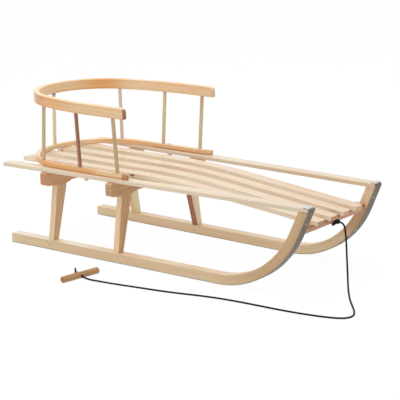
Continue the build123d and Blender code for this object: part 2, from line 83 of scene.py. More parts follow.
# Pull rope
ROPE_DIAMETER = 0.0045
FLOOR_ROPE_Z = ROPE_DIAMETER / 2
BAR_KNOT_CENTRE = (0.4295, -0.0015, 0.1452)
HANDLE_CENTRE = Vector((-0.0845, -0.310, 0.008))
HANDLE_TURN = radians(81.0)
HANDLE_AXIS = Vector((cos(HANDLE_TURN), sin(HANDLE_TURN), 0))
HANDLE_DIAMETER = 0.016
BORE_AXIS = Vector((-sin(HANDLE_TURN), cos(HANDLE_TURN), 0))
BORE_END = HANDLE_CENTRE + BORE_AXIS * HANDLE_DIAMETER / 2
DROP_AT_HANDLE = Vector((0, 0, 0.0055))
ROPE_ON_FLOOR = [
    (0.4665, -0.013), (0.493, -0.053), (0.528, -0.102), (0.558, -0.138), (0.579, -0.165),
    (0.589, -0.186), (0.585, -0.205), (0.566, -0.218), (0.530, -0.228), (0.483, -0.236),
    (0.431, -0.241), (0.379, -0.243), (0.328, -0.246), (0.280, -0.251), (0.233, -0.260),
    (0.186, -0.273), (0.136, -0.284), (0.085, -0.292), (0.042, -0.299), (0.006, -0.305),
    (-0.028, -0.308),
]
ROPE_ROUTE = [
    BAR_KNOT_CENTRE,
    (0.4440, 0.0036, 0.1448),
    (0.4505, 0.002, 0.119),
    (0.453, 0.001, 0.088),
    (0.4555, 0.000, 0.054),
    (0.4585, -0.002, 0.022),
    *[(x, y, FLOOR_ROPE_Z) for x, y in ROPE_ON_FLOOR],
    tuple(HANDLE_CENTRE - BORE_AXIS * (HANDLE_DIAMETER + ROPE_DIAMETER) - DROP_AT_HANDLE),
    tuple(BORE_END),
]


def add_object(name, data):
    """A new object in the scene."""
    made = bpy.data.objects.new(name, data)
    bpy.context.scene.collection.objects.link(made)
    return made


def smooth_mesh(name, vertices, faces):
    """A mesh whose faces are all shaded smooth."""
    mesh = bpy.data.meshes.new(name)
    mesh.from_pydata(vertices, [], faces)
    mesh.polygons.foreach_set("use_smooth", [True] * len(mesh.polygons))
    mesh.update()
    return mesh


def set_camera():
    """A long lens at the height and turn of the photograph's."""
    forward = Vector(
        (
            -sin(CAMERA_AZIMUTH) * cos(CAMERA_ELEVATION),
            cos(CAMERA_AZIMUTH) * cos(CAMERA_ELEVATION),
            -sin(CAMERA_ELEVATION),
        )
    )
    level_right = Vector((cos(CAMERA_AZIMUTH), sin(CAMERA_AZIMUTH), 0))
    level_up = level_right.cross(forward)
    right = level_right * cos(CAMERA_ROLL) + level_up * sin(CAMERA_ROLL)
    up = level_up * cos(CAMERA_ROLL) - level_right * sin(CAMERA_ROLL)
    data = bpy.data.cameras.new("camera")
    data.lens = LENS_MM
    data.sensor_width = SENSOR_MM
    camera = add_object("camera", data)
    turn = Matrix((right, up, -forward)).transposed().to_4x4()
    camera.matrix_world = Matrix.Translation(CAMERA_AIM - forward * CAMERA_DISTANCE) @ turn
    bpy.context.scene.camera = camera


# Swept cords


def spline_points(name, points, resolution):
    """Points close together along the smooth NURBS line of a route."""
    curve = bpy.data.curves.new(name, "CURVE")
    curve.dimensions = "3D"
    curve.resolution_u = resolution
    spline = curve.splines.new("NURBS")
    spline.points.add(len(points) - 1)
    for control, point in zip(spline.points, points):
        control.co = (*point, 1)
    spline.order_u = 3
    spline.use_endpoint_u = True
    carrier = add_object(name, curve)
    bpy.context.view_layer.update()
    line = bpy.data.meshes.new_from_object(carrier)
    found = [vertex.co.copy() for vertex in line.vertices]
    bpy.data.objects.remove(carrier)
    bpy.data.curves.remove(curve)
    bpy.data.meshes.remove(line)
    return found


def even_points(points, step):
    """The same line with points a step apart, as an array."""
    line = np.array([tuple(point) for point in points])
    runs = np.linalg.norm(np.diff(line, axis=0), axis=1)
    places = np.concatenate(([0], np.cumsum(runs)))
    wanted = np.linspace(0, places[-1], max(2, ceil(places[-1] / step)) + 1)
    return np.stack([np.interp(wanted, places, line[:, axis]) for axis in range(3)], axis=1)


BRAID_STRANDS = 6
YARNS_PER_STRAND = 5.0
BRAID_PITCH = 0.0068
BRAID_RELIEF = 0.00042
BRAID_OVER_SHARE = 0.28
BRAID_STEP = 0.0006
BRAID_SIDES = 28
SMALLEST_END_SHARE = 0.02


def braid_height(along, round_angle):
    """Relief of a braid from 0 to 1: two sets of strands that wind opposite ways, over and under."""
    wind = 2 * pi * along / BRAID_PITCH * 2
    turn = BRAID_STRANDS * round_angle
    one_way = np.cos((turn + wind) / 2) ** 2
    other_way = np.cos((turn - wind) / 2) ** 2
    level = 1 - BRAID_OVER_SHARE
    over = BRAID_OVER_SHARE * np.cos(turn)
    return np.maximum(one_way * (level + over), other_way * (level - over))


def braided_tube(name, points):
    """The braided rope swept along a line with rounded ends, with U along it in metres and V round it."""
    line = even_points(points, BRAID_STEP)
    count = len(line)
    heading = np.gradient(line, axis=0)
    heading /= np.linalg.norm(heading, axis=1)[:, None]
    side = np.zeros_like(line)
    first = np.cross(heading[0], (0, 0, 1) if abs(heading[0][2]) < 0.9 else (0, 1, 0))
    side[0] = first / np.linalg.norm(first)
    for i in range(1, count):
        carried = side[i - 1] - heading[i] * np.dot(side[i - 1], heading[i])
        side[i] = carried / np.linalg.norm(carried)
    lift = np.cross(heading, side)
    angles = np.arange(BRAID_SIDES) * 2 * pi / BRAID_SIDES
    along = np.arange(count) * BRAID_STEP
    relief = braid_height(along[:, None], angles[None, :])
    radius = ROPE_DIAMETER / 2 - BRAID_RELIEF * (1 - relief)
    from_end = np.minimum(along, along[-1] - along)
    rounding = np.clip(from_end / (ROPE_DIAMETER / 2), SMALLEST_END_SHARE, 1)
    radius = radius * np.sqrt(1 - (1 - rounding[:, None]) ** 2)
    ring = np.cos(angles)[None, :, None] * side[:, None, :]
    ring = ring + np.sin(angles)[None, :, None] * lift[:, None, :]
    vertices = (line[:, None, :] + radius[:, :, None] * ring).reshape(-1, 3)
    faces = []
    for i in range(count - 1):
        for j in range(BRAID_SIDES):
            k = (j + 1) % BRAID_SIDES
            here = i * BRAID_SIDES
            beyond = here + BRAID_SIDES
            faces.append((here + j, here + k, beyond + k, beyond + j))
    faces.append(tuple(reversed(range(BRAID_SIDES))))
    faces.append(tuple(range((count - 1) * BRAID_SIDES, count * BRAID_SIDES)))
    mesh = smooth_mesh(name, vertices.tolist(), faces)
    uv = mesh.uv_layers.new(name="UVMap")
    for i in range(count - 1):
        for j in range(BRAID_SIDES):
            at = (i * BRAID_SIDES + j) * 4
            low, high = along[i], along[i] + BRAID_STEP
            left, right = j / BRAID_SIDES, (j + 1) / BRAID_SIDES
            for corner, place in enumerate(((low, left), (low, right), (high, right), (high, left))):
                uv.data[at + corner].uv = place
    return add_object(name, mesh)


# Node trees


class Shade:
    """Builds one node tree. A value is a number, a tuple or another node's output."""

    def __init__(self, tree):
        self.tree = tree

    def node(self, kind, **settings):
        made = self.tree.nodes.new(kind)
        for name, value in settings.items():
            setattr(made, name, value)
        return made

    def feed(self, socket, value):
        if isinstance(value, bpy.types.NodeSocket):
            self.tree.links.new(value, socket)
        else:
            socket.default_value = value

    def math(self, operation, *values, clamp=False):
        made = self.node("ShaderNodeMath", operation=operation, use_clamp=clamp)
        for socket, value in zip(made.inputs, values):
            self.feed(socket, value)
        return made.outputs[0]

    def times(self, a, b):
        return self.math("MULTIPLY", a, b)

    def minus(self, a, b):
        return self.math("SUBTRACT", a, b)

    def vector(self, operation, *values):
        made = self.node("ShaderNodeVectorMath", operation=operation)
        for socket, value in zip(made.inputs, values):
            self.feed(socket, value)
        gives_number = operation in ("LENGTH", "DOT_PRODUCT", "DISTANCE")
        return made.outputs["Value" if gives_number else "Vector"]

    def split(self, vector):
        made = self.node("ShaderNodeSeparateXYZ")
        self.feed(made.inputs[0], vector)
        return made.outputs[0], made.outputs[1], made.outputs[2]

    def join(self, x, y, z):
        made = self.node("ShaderNodeCombineXYZ")
        for socket, value in zip(made.inputs, (x, y, z)):
            self.feed(socket, value)
        return made.outputs[0]

    def noise(self, vector, detail=2.0, roughness=0.5, output="Fac"):
        made = self.node("ShaderNodeTexNoise")
        self.feed(made.inputs["Vector"], vector)
        made.inputs["Scale"].default_value = 1.0
        made.inputs["Detail"].default_value = detail
        made.inputs["Roughness"].default_value = roughness
        return made.outputs[output]

    def step(self, value, low, high, start=0.0, end=1.0):
        made = self.node("ShaderNodeMapRange", interpolation_type="SMOOTHSTEP")
        for socket, given in zip(made.inputs, (value, low, high, start, end)):
            self.feed(socket, given)
        return made.outputs[0]

    def mix(self, factor, a, b, blend="MIX"):
        made = self.node("ShaderNodeMix", data_type="RGBA", blend_type=blend)
        self.feed(made.inputs["Factor"], factor)
        self.feed(made.inputs[6], a)
        self.feed(made.inputs[7], b)
        return made.outputs[2]

    def blend_numbers(self, factor, a, b):
        made = self.node("ShaderNodeMix", data_type="FLOAT")
        self.feed(made.inputs["Factor"], factor)
        self.feed(made.inputs[2], a)
        self.feed(made.inputs[3], b)
        return made.outputs[0]

    def group(self, tree, **values):
        made = self.node("ShaderNodeGroup", node_tree=tree)
        for name, value in values.items():
            self.feed(made.inputs[name.replace("_", " ")], value)
        return made.outputs

    def bump(self, strength, distance, height, normal=None):
        made = self.node("ShaderNodeBump")
        made.inputs["Strength"].default_value = strength
        made.inputs["Distance"].default_value = distance
        self.feed(made.inputs["Height"], height)
        if normal is not None:
            self.feed(made.inputs["Normal"], normal)
        return made.outputs[0]

    def looked_at(self):
        """Mask of the rays that come from the camera, or that gloss or glass sends on."""
        path = self.node("ShaderNodeLightPath").outputs
        seen = self.math("MAXIMUM", path["Is Camera Ray"], path["Is Glossy Ray"])
        return self.math("MAXIMUM", seen, path["Is Transmission Ray"])


def new_group(name, inputs, outputs):
    """A shader node group with named sockets, each input given as name, kind and default."""
    tree = bpy.data.node_groups.new(name, "ShaderNodeTree")
    for label, kind, default in inputs:
        socket = tree.interface.new_socket(label, in_out="INPUT", socket_type=kind)
        if default is not None:
            socket.default_value = default
    for label, kind in outputs:
        tree.interface.new_socket(label, in_out="OUTPUT", socket_type=kind)
    shade = Shade(tree)
    taken = shade.node("NodeGroupInput").outputs
    given = shade.node("NodeGroupOutput").inputs
    return tree, shade, taken, given


def colour(red, green, blue):
    """A display colour from 0 to 255 as the linear colour that nodes take."""
    shares = [value / 255 for value in (red, green, blue)]
    linear = [s / 12.92 if s <= 0.04045 else ((s + 0.055) / 1.055) ** 2.4 for s in shares]
    return (*linear, 1.0)


FLOAT = "NodeSocketFloat"
VECTOR = "NodeSocketVector"
COLOUR = "NodeSocketColor"


def make_bend_group():
    """Straightens a bend: places and normals given square to it come out along and across the grain."""
    tree, shade, taken, given = new_group(
        "Bend coordinates",
        [
            ("Forward", FLOAT, 0.0),
            ("Outward", FLOAT, 0.0),
            ("Normal forward", FLOAT, 0.0),
            ("Normal outward", FLOAT, 0.0),
            ("Radius", FLOAT, 1.0),
            ("Turn", FLOAT, 1.0),
        ],
        [("Along", FLOAT), ("Depth", FLOAT), ("End", FLOAT)],
    )
    ahead = shade.math("MAXIMUM", taken["Forward"], 0.0)
    free_angle = shade.math("ARCTAN2", ahead, taken["Outward"])
    angle = shade.math("MINIMUM", free_angle, taken["Turn"])
    cosine = shade.math("COSINE", angle)
    sine = shade.math("SINE", angle)
    past = shade.minus(shade.times(taken["Forward"], cosine), shade.times(taken["Outward"], sine))
    shade.feed(given["Along"], shade.math("MULTIPLY_ADD", angle, taken["Radius"], past))
    reach = shade.math("ADD", shade.times(taken["Forward"], sine), shade.times(taken["Outward"], cosine))
    shade.feed(given["Depth"], shade.minus(reach, taken["Radius"]))
    forward_part = shade.times(taken["Normal forward"], cosine)
    end = shade.minus(forward_part, shade.times(taken["Normal outward"], sine))
    shade.feed(given["End"], shade.math("ABSOLUTE", end))
    return tree


RING_WIDTH = 0.0031


def make_grain_group():
    """Beech: growth rings round a pith, long fibres, short ray flecks, pores and slow changes of tone."""
    tree, shade, taken, given = new_group(
        "Beech grain",
        [
            ("Grain", VECTOR, None),
            ("Pith", VECTOR, (0.0, 0.02, -0.05)),
            ("Seed", FLOAT, 0.0),
            ("End", FLOAT, 0.0),
            ("Pale", COLOUR, (0.8, 0.7, 0.5, 1)),
            ("Dark", COLOUR, (0.6, 0.45, 0.3, 1)),
            ("Fleck", COLOUR, (0.45, 0.25, 0.15, 1)),
            ("Streaks", FLOAT, 1.0),
        ],
        [("Color", COLOUR), ("Roughness", FLOAT), ("Height", FLOAT)],
    )
    shift = shade.join(taken["Seed"], shade.times(taken["Seed"], 1.7), taken["Seed"])
    moved = shade.vector("ADD", taken["Grain"], shift)

    def stretched(along, across, detail, output="Fac"):
        scaled = shade.vector("MULTIPLY", moved, (along, across, across))
        return shade.noise(scaled, detail, 0.55, output)

    wander = shade.vector("SUBTRACT", stretched(1.6, 9.0, 2.0, "Color"), (0.5, 0.5, 0.5))
    sway = shade.vector("MULTIPLY", wander, (0.0, 0.012, 0.012))
    from_pith = shade.vector("SUBTRACT", taken["Grain"], taken["Pith"])
    flat = shade.vector("MULTIPLY", shade.vector("ADD", from_pith, sway), (0.0, 1.0, 1.0))
    radius = shade.vector("LENGTH", flat)
    uneven = shade.noise(shade.join(shade.times(radius, 160.0), taken["Seed"], 0.0))
    ring = shade.math("ADD", shade.math("DIVIDE", radius, RING_WIDTH), uneven)
    phase = shade.math("FRACT", ring)
    late = shade.times(shade.step(phase, 0.25, 0.94), shade.step(phase, 0.94, 1.0, 1.0, 0.0))
    fibre = stretched(26.0, 1500.0, 3.0)
    streak = stretched(2.4, 95.0, 2.0)
    tone = stretched(1.3, 22.0, 1.0)
    depth = shade.times(late, 0.42)
    depth = shade.math("MULTIPLY_ADD", shade.step(streak, 0.32, 0.72), 0.42, depth)
    depth = shade.math("MULTIPLY_ADD", fibre, 0.20, depth)
    depth = shade.math("MULTIPLY_ADD", depth, taken["Streaks"], -0.12, clamp=True)
    wood = shade.mix(depth, taken["Pale"], taken["Dark"])
    rosy = shade.mix(shade.step(tone, 0.35, 0.7), (1.0, 1.0, 0.97, 1), (1.0, 0.955, 0.95, 1))
    wood = shade.mix(1.0, wood, rosy, "MULTIPLY")
    ray = shade.step(stretched(330.0, 2500.0, 1.0), 0.615, 0.70)
    wood = shade.mix(shade.times(ray, 0.42), wood, taken["Fleck"])
    pore = shade.step(stretched(150.0, 5200.0, 1.0), 0.64, 0.74)
    wood = shade.mix(shade.times(pore, 0.22), wood, taken["Fleck"])
    end = shade.step(taken["End"], 0.55, 0.9)
    wood = shade.mix(end, wood, shade.mix(1.0, wood, (0.80, 0.70, 0.62, 1), "MULTIPLY"))
    core = shade.step(radius, 0.0007, 0.0016, 1.0, 0.0)
    wood = shade.mix(core, wood, (0.10, 0.035, 0.02, 1))
    shade.feed(given["Color"], wood)
    rough = shade.math("MULTIPLY_ADD", fibre, 0.16, 0.36)
    shade.feed(given["Roughness"], shade.math("MULTIPLY_ADD", end, 0.16, rough))
    height = shade.math("MULTIPLY_ADD", late, 0.35, shade.times(fibre, 0.6))
    shade.feed(given["Height"], shade.math("MULTIPLY_ADD", pore, -0.8, height))
    return tree


def make_edge_group():
    """Softens sharp edges for the light, and gives a mask of where they are."""
    tree, shade, _, given = new_group("Eased edges", [], [("Normal", VECTOR), ("Mask", FLOAT)])
    bevel = shade.node("ShaderNodeBevel", samples=6)
    bevel.inputs["Radius"].default_value = 0.0011
    eased = bevel.outputs[0]
    true_normal = shade.node("ShaderNodeNewGeometry").outputs["True Normal"]
    bend = shade.minus(1.0, shade.vector("DOT_PRODUCT", eased, true_normal))
    shade.feed(given["Normal"], eased)
    shade.feed(given["Mask"], shade.step(bend, 0.02, 0.22))
    return tree


BEND = make_bend_group()
GRAIN = make_grain_group()
EDGES = make_edge_group()


# Grain directions: what each function returns adds the nodes for the grain vector and the end grain mask


def straight_grain(origin, along, across):
    """Grain that runs straight through a piece."""
    along = Vector(along).normalized()
    across = (Vector(across) - along * along.dot(Vector(across))).normalized()
    depth = along.cross(across)

    def add(shade, place, normal):
        local = shade.vector("SUBTRACT", place, tuple(origin))
        parts = [shade.vector("DOT_PRODUCT", local, tuple(axis)) for axis in (along, across, depth)]
        end = shade.math("ABSOLUTE", shade.vector("DOT_PRODUCT", normal, tuple(along)))
        return shade.join(*parts), end

    return add


def runner_grain():
    """Grain that follows a runner from its sole up into its horn."""
    bend_end_height = RUNNER_BEND_RADIUS * (1 - cos(HORN_SLOPE))
    tip_corner_x = TIP.x - TIP_FOLD_RADIUS + TIP_FOLD_RADIUS / tan(HORN_SLOPE / 2)
    bend_end_x = tip_corner_x - (TIP.z - bend_end_height) / tan(HORN_SLOPE)
    bend_start_x = bend_end_x - RUNNER_BEND_RADIUS * sin(HORN_SLOPE)

    def add(shade, place, normal):
        x, y, z = shade.split(place)
        normal_x, _, normal_z = shade.split(normal)
        bent = shade.group(
            BEND,
            Forward=shade.minus(x, bend_start_x),
            Outward=shade.minus(RUNNER_BEND_RADIUS, z),
            Normal_forward=normal_x,
            Normal_outward=shade.times(normal_z, -1.0),
            Radius=RUNNER_BEND_RADIUS,
            Turn=HORN_SLOPE,
        )
        return shade.join(bent["Along"], y, bent["Depth"]), bent["End"]

    return add


def slat_grain():
    """Grain that follows a slat over its gentle bend down to the crossbar."""
    bend_start_x = REAR_X + SLAT_BEND_MIDDLE - SLAT_BEND_RADIUS * tan(SLAT_SLOPE / 2)

    def add(shade, place, normal):
        x, y, z = shade.split(place)
        normal_x, _, normal_z = shade.split(normal)
        bent = shade.group(
            BEND,
            Forward=shade.minus(x, bend_start_x),
            Outward=shade.math("ADD", z, SLAT_BEND_RADIUS - SEAT_TOP),
            Normal_forward=normal_x,
            Normal_outward=normal_z,
            Radius=SLAT_BEND_RADIUS,
            Turn=SLAT_SLOPE,
        )
        return shade.join(bent["Along"], y, bent["Depth"]), bent["End"]

    return add


def hoop_sides(shade, place, normal):
    """A hoop's coordinates folded onto one side: X, half width, height, side, and the normal's parts."""
    x, y, z = shade.split(place)
    normal_x, normal_y, _ = shade.split(normal)
    side = shade.math("SIGN", y)
    back = shade.times(normal_x, -1.0)
    out = shade.times(normal_y, side)
    return x, shade.math("ABSOLUTE", y), z, side, back, out


def lower_hoop_grain():
    """Grain that follows the lower hoop's half circle and its arms."""
    bend_x = LOWER_HOOP_LOW.x + LOWER_HOOP_THICKNESS / 2 + LOWER_HOOP_RADIUS

    def add(shade, place, normal):
        x, half_width, z, side, back, out = hoop_sides(shade, place, normal)
        bent = shade.group(
            BEND,
            Forward=shade.minus(bend_x, x),
            Outward=half_width,
            Normal_forward=back,
            Normal_outward=out,
            Radius=LOWER_HOOP_RADIUS,
            Turn=pi / 2,
        )
        to_nose = shade.minus(LOWER_HOOP_RADIUS * pi / 2, bent["Along"])
        return shade.join(shade.times(to_nose, side), z, bent["Depth"]), bent["End"]

    return add


def upper_hoop_grain():
    """Grain that follows the upper hoop's arms, flank arcs and nose."""
    half_width = UPPER_HOOP_HIGH.y - UPPER_HOOP_THICKNESS / 2
    flank_turn = pi / 2 - UPPER_NOSE_TURN
    nose_x = UPPER_HOOP_LOW.x + UPPER_HOOP_THICKNESS / 2
    nose_centre_x = nose_x + UPPER_NOSE_RADIUS
    flank_radius = (half_width - UPPER_NOSE_RADIUS * sin(UPPER_NOSE_TURN)) / (1 - sin(UPPER_NOSE_TURN))
    nose_end_x = nose_centre_x - UPPER_NOSE_RADIUS * cos(UPPER_NOSE_TURN)
    flank_centre_x = nose_end_x + flank_radius * cos(UPPER_NOSE_TURN)

    def add(shade, place, normal):
        x, width, z, side, back, out = hoop_sides(shade, place, normal)
        flank = shade.group(
            BEND,
            Forward=shade.minus(flank_centre_x, x),
            Outward=shade.math("ADD", width, flank_radius - half_width),
            Normal_forward=back,
            Normal_outward=out,
            Radius=flank_radius,
            Turn=flank_turn,
        )
        nose = shade.group(
            BEND,
            Forward=shade.minus(nose_centre_x, x),
            Outward=width,
            Normal_forward=back,
            Normal_outward=out,
            Radius=UPPER_NOSE_RADIUS,
            Turn=pi / 2,
        )
        nose_side = shade.times(width, tan(flank_turn))
        on_nose = shade.math("GREATER_THAN", shade.minus(nose_centre_x, x), nose_side)
        flank_length = flank_radius * flank_turn
        nose_along = shade.math("ADD", nose["Along"], flank_length - UPPER_NOSE_RADIUS * flank_turn)
        along = shade.blend_numbers(on_nose, flank["Along"], nose_along)
        depth = shade.blend_numbers(on_nose, flank["Depth"], nose["Depth"])
        end = shade.blend_numbers(on_nose, flank["End"], nose["End"])
        whole = flank_length + UPPER_NOSE_RADIUS * UPPER_NOSE_TURN
        to_nose = shade.minus(whole, along)
        return shade.join(shade.times(to_nose, side), z, depth), end

    return add


# Woods, each as a pale, a dark and a fleck colour
SEAT_WOOD = (colour(246, 226, 200), colour(226, 194, 156), colour(190, 138, 100))
RAIL_WOOD = (colour(240, 227, 202), colour(219, 196, 159), colour(184, 140, 102))
RUNNER_WOOD = (colour(236, 208, 174), colour(212, 172, 130), colour(176, 122, 84))
LEG_WOOD = (colour(232, 198, 162), colour(200, 150, 108), colour(160, 98, 64))
BEAM_WOOD = (colour(218, 172, 129), colour(190, 138, 96), colour(146, 80, 48))
LOWER_HOOP_WOOD = (colour(243, 206, 158), colour(224, 168, 108), colour(186, 122, 72))
UPPER_HOOP_WOOD = (colour(247, 214, 170), colour(228, 175, 118), colour(190, 126, 78))
SPINDLE_WOOD = (colour(234, 204, 170), colour(208, 166, 126), colour(170, 116, 80))
DARK_SPINDLE_WOOD = (colour(188, 136, 108), colour(146, 94, 70), colour(106, 58, 42))
HANDLE_WOOD = (colour(203, 160, 109), colour(170, 123, 77), colour(128, 82, 49))


def new_material(name):
    """A material with a plain shader, its node tree to build on and the shader's inputs."""
    material = bpy.data.materials.new(name)
    material.use_nodes = True
    shade = Shade(material.node_tree)
    shader = material.node_tree.nodes["Principled BSDF"]
    return material, shade, shader.inputs


def facing(direction, low=0.5, high=0.85):
    """Mask of the faces that look one way."""

    def add(shade, place, normal, along):
        return shade.step(shade.vector("DOT_PRODUCT", normal, direction), low, high)

    return add


def stretch(axis, start, end, soft):
    """Mask of the stretch between two places along x, y or z, or along the grain."""

    def add(shade, place, normal, along):
        value = along if axis == "grain" else shade.split(place)["xyz".index(axis)]
        rise = shade.step(value, start - soft, start + soft)
        fall = shade.step(value, end - soft, end + soft, 1.0, 0.0)
        return shade.times(rise, fall)

    return add


def spot(centre, reach):
    """Mask of a small patch round a place, as wide each way as its reach."""

    def add(shade, place, normal, along):
        offset = shade.vector("SUBTRACT", place, centre)
        share = shade.vector("LENGTH", shade.vector("DIVIDE", offset, reach))
        return shade.step(share, 0.6, 1.1, 1.0, 0.0)

    return add


def everywhere(shade, place, normal, along):
    """Mask of a whole piece."""
    return 1.0


def both(first, second):
    """Mask of what two masks share."""

    def add(shade, place, normal, along):
        found = first(shade, place, normal, along)
        return shade.times(found, second(shade, place, normal, along))

    return add


def dress(node, material):
    """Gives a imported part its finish."""
    slots = NODES[node].data.materials
    slots.clear()
    slots.append(material)


def dress_in_wood(node, wood, grain, pith, seed, streaks=1.0, tones=()):
    """Clear varnished beech with a part's own grain, and tones as pairs of a mask and a tint."""
    material, shade, shader = new_material(node)
    coordinates = shade.node("ShaderNodeTexCoord").outputs
    place = coordinates["Object"]
    normal = coordinates["Normal"]
    vector, end = grain(shade, place, normal)
    pale, dark, fleck = wood
    board = shade.group(
        GRAIN,
        Grain=vector,
        Pith=pith,
        Seed=seed,
        End=end,
        Pale=pale,
        Dark=dark,
        Fleck=fleck,
        Streaks=streaks,
    )
    surface = board["Color"]
    along = shade.split(vector)[0]
    for mask, tint in tones:
        tinted = shade.mix(1.0, surface, (*tint, 1.0), "MULTIPLY")
        surface = shade.mix(mask(shade, place, normal, along), surface, tinted)
    edges = shade.group(EDGES)
    # Lighter along the sharp edges: a painted highlight
    lightened = shade.mix(1.0, surface, (1.06, 1.05, 1.03, 1), "MULTIPLY")
    shade.feed(shader["Base Color"], shade.mix(edges["Mask"], surface, lightened))
    shade.feed(shader["Roughness"], board["Roughness"])
    shade.feed(shader["Normal"], shade.bump(0.5, 0.00012, board["Height"], edges["Normal"]))
    shader["Specular IOR Level"].default_value = 0.4
    shader["Coat Weight"].default_value = 0.5
    shader["Coat Roughness"].default_value = 0.28
    dress(node, material)


def middle(node):
    """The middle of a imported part's box."""
    low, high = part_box(node)
    return (low + high) / 2


def rod_axis(node):
    """The direction from a rod's low end to its high end."""
    points = sorted((vertex.co for vertex in NODES[node].data.vertices), key=lambda point: point.z)
    share = max(1, len(points) // 4)
    foot = sum(points[:share], Vector()) / share
    head = sum(points[-share:], Vector()) / share
    return (head - foot).normalized()


SIDES = (("right", -1), ("left", 1))
BEAMS = ("rear", "front")
LEG_LEAN = 0.215
RAIL_TOE = tan(radians(2.26))

# Masks that several pieces use
TOP_FACES = facing((0, 0, 1))
FRONT_FACES = facing((1, 0, 0))
RIGHT_FACES = facing((0, -1, 0))
RIGHT_HALF = stretch("y", -0.30, 0.0, 0.01)
LEFT_HALF = stretch("y", 0.0, 0.30, 0.01)
UPPER_ARM_ENDS = both(FRONT_FACES, stretch("x", -0.08, 0.10, 0.005))

# Tones of single pieces: each pair is a mask and the tint that the surface takes there, some of it the
# wood's own tone and some painted light and shade
# Slats: top faces a little darker as painted shade, right faces lighter as painted light
SLAT_TONES = [
    (TOP_FACES, (0.97, 0.97, 0.98)),
    (RIGHT_FACES, (1.06, 1.13, 1.21)),
]
# Front ends darker and warmer, deepest on the first slat: painted shade on the front faces
SLAT_FRONT = both(FRONT_FACES, stretch("x", 0.40, 0.60, 0.01))
SLAT_FRONT_SHADE_TINTS = [(0.71, 0.52, 0.36), (0.82, 0.62, 0.45), (1.06, 0.82, 0.64), (1.07, 0.92, 0.73)]
# Painted shadows: a dark patch on the first slat's side by the front beam, and one on the third slat's
# side near its rear end
SLAT_PAINTED_SHADOWS = {
    0: (spot((-0.0915, -0.1026, 0.2060), (0.009, 0.012, 0.0035)), (0.37, 0.23, 0.14)),
    2: (spot((-0.4360, 0.0160, 0.2045), (0.006, 0.004, 0.0050)), (0.70, 0.52, 0.47)),
}
RAIL_TONES = {
    "right": [(stretch("x", 0.20, 0.60, 0.12), (0.95, 0.95, 0.93))],
    "left": [(stretch("x", 0.10, 0.60, 0.12), (0.95, 0.91, 0.89))],
}
RUNNER_TONES = {
    "right": [
        # Painted reflection and light on the top faces, most at the rear
        (TOP_FACES, (1.10, 1.22, 1.30)),
        (both(TOP_FACES, stretch("x", -0.60, -0.20, 0.05)), (1.07, 1.26, 1.44)),
        # Painted light on the right faces
        (RIGHT_FACES, (0.98, 1.05, 0.99)),
        (stretch("x", 0.27, 0.60, 0.10), (0.81, 0.69, 0.58)),
    ],
    "left": [
        (stretch("x", -0.60, 0.30, 0.08), (1.12, 1.22, 1.22)),
        # Painted shadow of the slat ends and crossbar low on the horn
        (both(stretch("x", 0.36, 0.50, 0.02), stretch("z", 0.08, 0.145, 0.02)), (0.73, 0.62, 0.50)),
        (both(stretch("x", 0.36, 0.50, 0.02), stretch("z", 0.15, 0.25, 0.01)), (1.10, 1.12, 1.17)),
    ],
}
# Tints on each leg's right- and front-facing faces: painted light and shade, partly the legs' own wood,
# which differs from leg to leg
LEG_TONES = {
    "rear_right": [(RIGHT_FACES, (1.21, 1.50, 1.48)), (FRONT_FACES, (0.95, 0.92, 0.84))],
    "front_right": [(RIGHT_FACES, (1.22, 1.37, 1.34)), (FRONT_FACES, (0.83, 0.74, 0.57))],
    "rear_left": [(RIGHT_FACES, (1.22, 1.37, 1.08)), (FRONT_FACES, (1.22, 1.72, 1.80))],
    "front_left": [(RIGHT_FACES, (0.57, 0.33, 0.17)), (FRONT_FACES, (1.24, 1.72, 1.98))],
}
# Tints on the right- and front-facing faces: painted light and shade; the dark spot on the front beam is
# its pith
BEAM_TONES = {
    "rear": [(RIGHT_FACES, (1.12, 1.05, 1.10)), (FRONT_FACES, (1.05, 1.01, 0.95))],
    "front": [
        (RIGHT_FACES, (1.14, 1.42, 1.75)),
        (FRONT_FACES, (0.93, 0.91, 0.80)),
        (spot((-0.0980, -0.1839, 0.1875), (0.0022, 0.004, 0.0022)), (0.30, 0.14, 0.10)),
    ],
}
# Front faces darker as painted shade, darkest in a band under the slat ends: painted shadow
CROSSBAR_TONES = [
    (FRONT_FACES, (0.96, 0.86, 0.76)),
    (both(FRONT_FACES, stretch("z", 0.1505, 0.20, 0.0015)), (0.62, 0.46, 0.36)),
]
LOWER_HOOP_TONES = [
    # Painted light on the top faces
    (TOP_FACES, (1.06, 1.14, 1.22)),
    (stretch("grain", -0.38, -0.15, 0.015), (0.945, 0.75, 0.49)),
    (stretch("grain", -0.15, 0.01, 0.015), (1.00, 1.22, 1.45)),
    (stretch("grain", 0.01, 0.13, 0.03), (1.08, 1.26, 1.55)),
    (stretch("grain", 0.14, 0.26, 0.04), (1.10, 1.06, 1.00)),
    (both(stretch("grain", 0.30, 0.55, 0.02), stretch("z", 0.20, 0.2140, 0.0012)), (0.72, 0.55, 0.44)),
    (both(stretch("x", -0.071, 0.10, 0.002), RIGHT_HALF), (0.59, 0.39, 0.31)),
]
